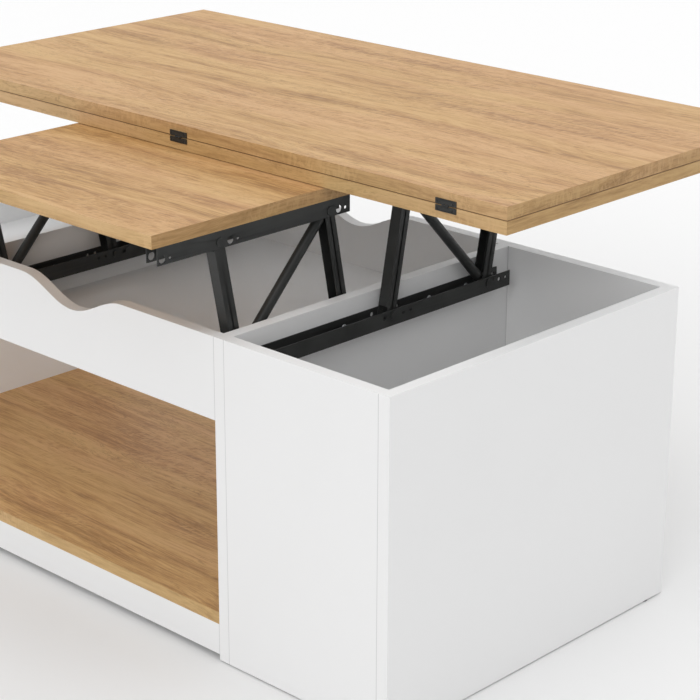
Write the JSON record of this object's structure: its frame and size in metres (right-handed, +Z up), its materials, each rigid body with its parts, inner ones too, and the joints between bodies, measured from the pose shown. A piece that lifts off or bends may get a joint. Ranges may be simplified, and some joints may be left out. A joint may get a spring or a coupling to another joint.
{
  "type": "lift top coffee table",
  "caption": "White coffee table with oak tops that lift on parallelogram arms, a folding upper leaf, an open-topped bin, a scooped storage bay and an open oak shelf.",
  "frame": {"origin": "middle of the cabinet's footprint, on the floor", "axes": "+X to the right along the length, +Y to the back, +Z up; both tops drawn raised"},
  "size_m": [1.006, 0.7532, 0.5536],
  "materials": {
    "white_board": "white melamine, fine satin texture",
    "oak_board": "light oak melamine, grain along X",
    "black_steel": "satin black powder coat",
    "zinc_steel": "bright zinc plate",
    "pin_steel": "blackened steel rivet",
    "rod_steel": "drawn steel",
    "black_nylon": "moulded nylon",
    "beech_dowel": "fluted beech"
  },
  "bodies": {
    "cabinet": {"right_end_panel": "white_board", "left_end_panel": "white_board", "right_partition": "white_board", "left_partition": "white_board", "front_rail": "white_board", "rear_rail": "white_board", "bay_floor": "white_board", "bin_front": "white_board", "bin_back": "white_board", "bin_floor": "white_board", "front_plinth": "white_board", "rear_plinth": "white_board", "shelf_bearer": "white_board", "shelf": "oak_board", "centre_foot": "black_nylon", "glides": "black_nylon", "dowels": "beech_dowel", "cam_locks": "zinc_steel", "cam_bolts": "zinc_steel", "base_rail_screws": "zinc_steel", "double_right_base_rail": "black_steel", "double_left_base_rail": "black_steel", "single_right_base_rail": "black_steel", "single_left_base_rail": "black_steel", "double_base_pins": "pin_steel", "single_base_pins": "pin_steel", "double_spacers": "black_nylon", "single_spacers": "black_nylon"},
    "double_front_arms": {"double_right_front_arm": "black_steel", "double_left_front_arm": "black_steel"},
    "double_rear_arms": {"double_right_rear_arm": "black_steel", "double_left_rear_arm": "black_steel"},
    "double_sleeves": {"double_strut_sleeves": "black_steel", "double_strut_springs": "rod_steel"},
    "double_rods": {"double_strut_rods": "rod_steel"},
    "single_front_arms": {"single_right_front_arm": "black_steel", "single_left_front_arm": "black_steel"},
    "single_rear_arms": {"single_right_rear_arm": "black_steel", "single_left_rear_arm": "black_steel"},
    "single_sleeves": {"single_strut_sleeves": "black_steel", "single_strut_springs": "rod_steel"},
    "single_rods": {"single_strut_rods": "rod_steel"},
    "double_top": {"lower_leaf": "oak_board", "lower_hinge_plates": "black_steel", "hinge_pins": "pin_steel", "lower_hinge_screws": "pin_steel", "double_right_top_rail": "black_steel", "double_left_top_rail": "black_steel", "double_top_pins": "pin_steel", "double_top_screws": "zinc_steel"},
    "upper_leaf": {"upper_leaf": "oak_board", "upper_hinge_plates": "black_steel", "upper_hinge_screws": "pin_steel"},
    "single_top": {"single_top_board": "oak_board", "single_right_top_rail": "black_steel", "single_left_top_rail": "black_steel", "single_top_pins": "pin_steel", "single_top_screws": "zinc_steel"}
  },
  "joints": [
    {"name": "double_lift", "type": "hinge", "parent": "cabinet", "child": "double_front_arms", "pos_m": [0, 0, 0.36433], "axis": [1, 0, 0], "range_deg": [0, 95]},
    {"name": "double_rear_arm_turn", "type": "hinge", "parent": "cabinet", "child": "double_rear_arms", "pos_m": [0, 0.168, 0.36433], "axis": [1, 0, 0], "range_deg": [0, 95]},
    {"name": "double_top_level", "type": "hinge", "parent": "double_front_arms", "child": "double_top", "pos_m": [0, 0.02843, 0.51059], "axis": [1, 0, 0], "range_deg": [-95, 0]},
    {"name": "leaf_unfold", "type": "hinge", "parent": "double_top", "child": "upper_leaf", "pos_m": [0, -0.07489, 0.53834], "axis": [1, 0, 0], "range_deg": [0, 180]},
    {"name": "double_sleeve_turn", "type": "hinge", "parent": "cabinet", "child": "double_sleeves", "pos_m": [0, 0.168, 0.36433], "axis": [1, 0, 0], "range_deg": [0, 43.62]},
    {"name": "double_rod_turn", "type": "hinge", "parent": "double_top", "child": "double_rods", "pos_m": [0, 0.02843, 0.51059], "axis": [1, 0, 0], "range_deg": [0, 43.62]},
    {"name": "single_rear_arm_turn", "type": "hinge", "parent": "cabinet", "child": "single_rear_arms", "pos_m": [0, -0.035, 0.34832], "axis": [-1, 0, 0], "range_deg": [0, 95]},
    {"name": "single_front_arm_turn", "type": "hinge", "parent": "cabinet", "child": "single_front_arms", "pos_m": [0, -0.203, 0.34832], "axis": [-1, 0, 0], "range_deg": [0, 95]},
    {"name": "single_top_level", "type": "hinge", "parent": "single_rear_arms", "child": "single_top", "pos_m": [0, -0.06343, 0.49459], "axis": [-1, 0, 0], "range_deg": [-95, 0]},
    {"name": "single_sleeve_turn", "type": "hinge", "parent": "cabinet", "child": "single_sleeves", "pos_m": [0, -0.203, 0.34832], "axis": [-1, 0, 0], "range_deg": [0, 43.62]},
    {"name": "single_rod_turn", "type": "hinge", "parent": "single_top", "child": "single_rods", "pos_m": [0, -0.06343, 0.49459], "axis": [-1, 0, 0], "range_deg": [0, 43.62]}
  ],
  "couplings": [
    {"joint": "double_rear_arm_turn", "follows": "double_lift", "ratio": 1},
    {"joint": "double_top_level", "follows": "double_lift", "ratio": -1},
    {"joint": "double_sleeve_turn", "follows": "double_lift", "ratio": 0.45812},
    {"joint": "double_rod_turn", "follows": "double_lift", "ratio": 0.45812},
    {"joint": "single_rear_arm_turn", "follows": "double_lift", "ratio": 1},
    {"joint": "single_front_arm_turn", "follows": "double_lift", "ratio": 1},
    {"joint": "single_top_level", "follows": "double_lift", "ratio": -1},
    {"joint": "single_sleeve_turn", "follows": "double_lift", "ratio": 0.45812},
    {"joint": "single_rod_turn", "follows": "double_lift", "ratio": 0.45812}
  ]
}
